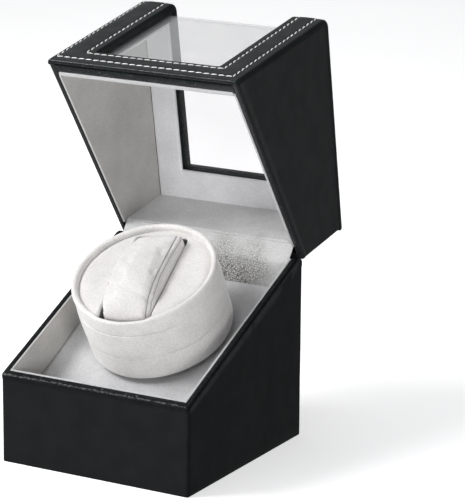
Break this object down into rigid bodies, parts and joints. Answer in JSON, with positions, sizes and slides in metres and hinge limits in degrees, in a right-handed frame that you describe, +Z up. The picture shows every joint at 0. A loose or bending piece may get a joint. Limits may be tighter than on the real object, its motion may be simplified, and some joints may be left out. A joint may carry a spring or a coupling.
{
  "type": "watch winder box",
  "caption": "Upright box with a sloping split line, a hinged lid with a window bent over its front top edge, and a tilted motor-driven turntable that holds a watch on a lift-out cushion.",
  "frame": {"origin": "centre of the underside, on the table, in line with the middle of the box in X and Y", "axes": "+X to the right seen from the front, -Y out of the front, +Z up; the box stands open at rest"},
  "size_m": [0.13, 0.189, 0.2553],
  "materials": {
    "leatherette_black": "smooth black leatherette, semi-gloss",
    "fibreboard": "raw fibreboard",
    "board_black": "black-faced fibreboard",
    "underside_sheet": "matt black backing sheet",
    "lining_grey": "pale grey velvet-flocked lining",
    "suede_white": "off-white microfibre suede",
    "drum_card": "rolled card",
    "acrylic_clear": "clear acrylic sheet, faint green-grey",
    "hinge_steel": "black-finished steel",
    "bright_steel": "zinc-plated steel",
    "bush_brass": "turned brass",
    "gearbox_plastic": "black moulded plastic",
    "gear_plastic": "natural acetal",
    "switch_plastic": "black moulded plastic",
    "circuit_board": "green solder mask",
    "component_black": "moulded component bodies",
    "wire_insulation": "red insulation"
  },
  "bodies": {
    "base": {"base_back_board": "fibreboard", "base_back_lining": "lining_grey", "base_bottom_board": "fibreboard", "base_bottom_sheet": "underside_sheet", "base_cover": "leatherette_black", "base_front_board": "fibreboard", "base_front_lining": "lining_grey", "base_left_board": "fibreboard", "base_left_lining": "lining_grey", "base_right_board": "fibreboard", "base_right_lining": "lining_grey", "board_parts": "component_black", "control_board": "circuit_board", "dc_socket": "switch_plastic", "deck_board": "fibreboard", "deck_cleats": "fibreboard", "deck_lining": "lining_grey", "gearbox_cover": "gearbox_plastic", "gearbox_housing": "gearbox_plastic", "gearbox_screws": "bright_steel", "hinge_base_leaves": "hinge_steel", "hinge_base_screws": "bright_steel", "hinge_lining": "lining_grey", "hinge_pins": "bright_steel", "idler_axle": "bright_steel", "mode_switch_body": "switch_plastic", "motor_can": "bright_steel", "output_bush": "bush_brass", "rocker_housing": "switch_plastic", "wiring": "wire_insulation"},
    "lid": {"hinge_lid_leaves": "hinge_steel", "hinge_lid_screws": "bright_steel", "lid_back_board": "fibreboard", "lid_back_lining": "lining_grey", "lid_cover": "leatherette_black", "lid_front_inner_frame": "board_black", "lid_front_lining": "lining_grey", "lid_front_outer_frame": "fibreboard", "lid_left_board": "fibreboard", "lid_left_lining": "lining_grey", "lid_right_board": "fibreboard", "lid_right_lining": "lining_grey", "lid_top_inner_frame": "board_black", "lid_top_lining": "lining_grey", "lid_top_outer_frame": "fibreboard", "lid_window": "acrylic_clear"},
    "turntable": {"output_shaft": "bright_steel", "output_gear": "gear_plastic", "turntable_hub": "gearbox_plastic", "drum_base": "fibreboard", "drum_wall": "drum_card", "drum_cover": "suede_white", "drum_rim": "suede_white", "drum_face": "suede_white", "pillow_pocket": "suede_white"},
    "idler": {"idler_gear": "gear_plastic"},
    "motor_rotor": {"motor_pinion": "gear_plastic"},
    "pillow": {"watch_pillow": "suede_white"},
    "knob": {"mode_knob": "switch_plastic"},
    "rocker": {"power_rocker": "switch_plastic"}
  },
  "joints": [
    {"name": "lid_hinge", "type": "hinge", "parent": "base", "child": "lid", "pos_m": [0, 0.0654, 0.1142], "axis": [-1, 0, 0], "range_deg": [-80, 10], "deforming": ["hinge_lining"]},
    {"name": "turntable_spin", "type": "hinge", "parent": "base", "child": "turntable", "pos_m": [0, 0.0116, 0.06965], "axis": [0, -0.4695, 0.8829], "continuous": true},
    {"name": "idler_spin", "type": "hinge", "parent": "base", "child": "idler", "pos_m": [-0.0168, 0.0116, 0.06965], "axis": [0, -0.4695, 0.8829], "continuous": true},
    {"name": "motor_spin", "type": "hinge", "parent": "base", "child": "motor_rotor", "pos_m": [-0.0084, 0.02445, 0.07648], "axis": [0, -0.4695, 0.8829], "continuous": true},
    {"name": "pillow_lift", "type": "slide", "parent": "turntable", "child": "pillow", "axis": [0, -0.4695, 0.8829], "range_m": [0, 0.05]},
    {"name": "mode_select", "type": "hinge", "parent": "base", "child": "knob", "pos_m": [0, 0.069, 0.02], "axis": [0, 1, 0], "range_deg": [0, 90]},
    {"name": "power_press", "type": "hinge", "parent": "base", "child": "rocker", "pos_m": [0.035, 0.0655, 0.02], "axis": [-1, 0, 0], "range_deg": [0, 14]}
  ],
  "couplings": [
    {"joint": "idler_spin", "follows": "turntable_spin", "ratio": -3},
    {"joint": "motor_spin", "follows": "turntable_spin", "ratio": 9}
  ]
}
